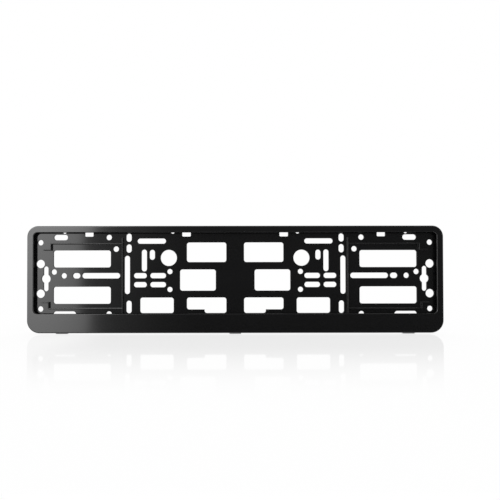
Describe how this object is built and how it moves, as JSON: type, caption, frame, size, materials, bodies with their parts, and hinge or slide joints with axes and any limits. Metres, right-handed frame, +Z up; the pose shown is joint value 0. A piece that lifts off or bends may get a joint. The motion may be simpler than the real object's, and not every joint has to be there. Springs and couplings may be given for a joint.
{
  "type": "number plate holder",
  "caption": "Black plastic car number plate holder: a perforated, ribbed base plate that screws to the car, and a frame hinged on its top edge that snaps shut over the plate.",
  "frame": {"origin": "on the rear plane, in the middle of the base plate, level with the row of long screw slots", "axes": "+X along the plate, +Y to the rear, out of the face that lies on the car, +Z up; the front looks along -Y"},
  "size_m": [0.531, 0.0111, 0.1383],
  "materials": {
    "base_plastic": "satin black moulded plastic",
    "frame_plastic": "semi-gloss black moulded plastic"
  },
  "bodies": {
    "base": {"base_plate": "base_plastic"},
    "frame": {"frame": "frame_plastic"}
  },
  "joints": [
    {"name": "frame_hinge", "type": "hinge", "parent": "base", "child": "frame", "pos_m": [0, -0.0046, 0.0592], "axis": [-1, 0, 0], "range_deg": [0, 90]}
  ]
}
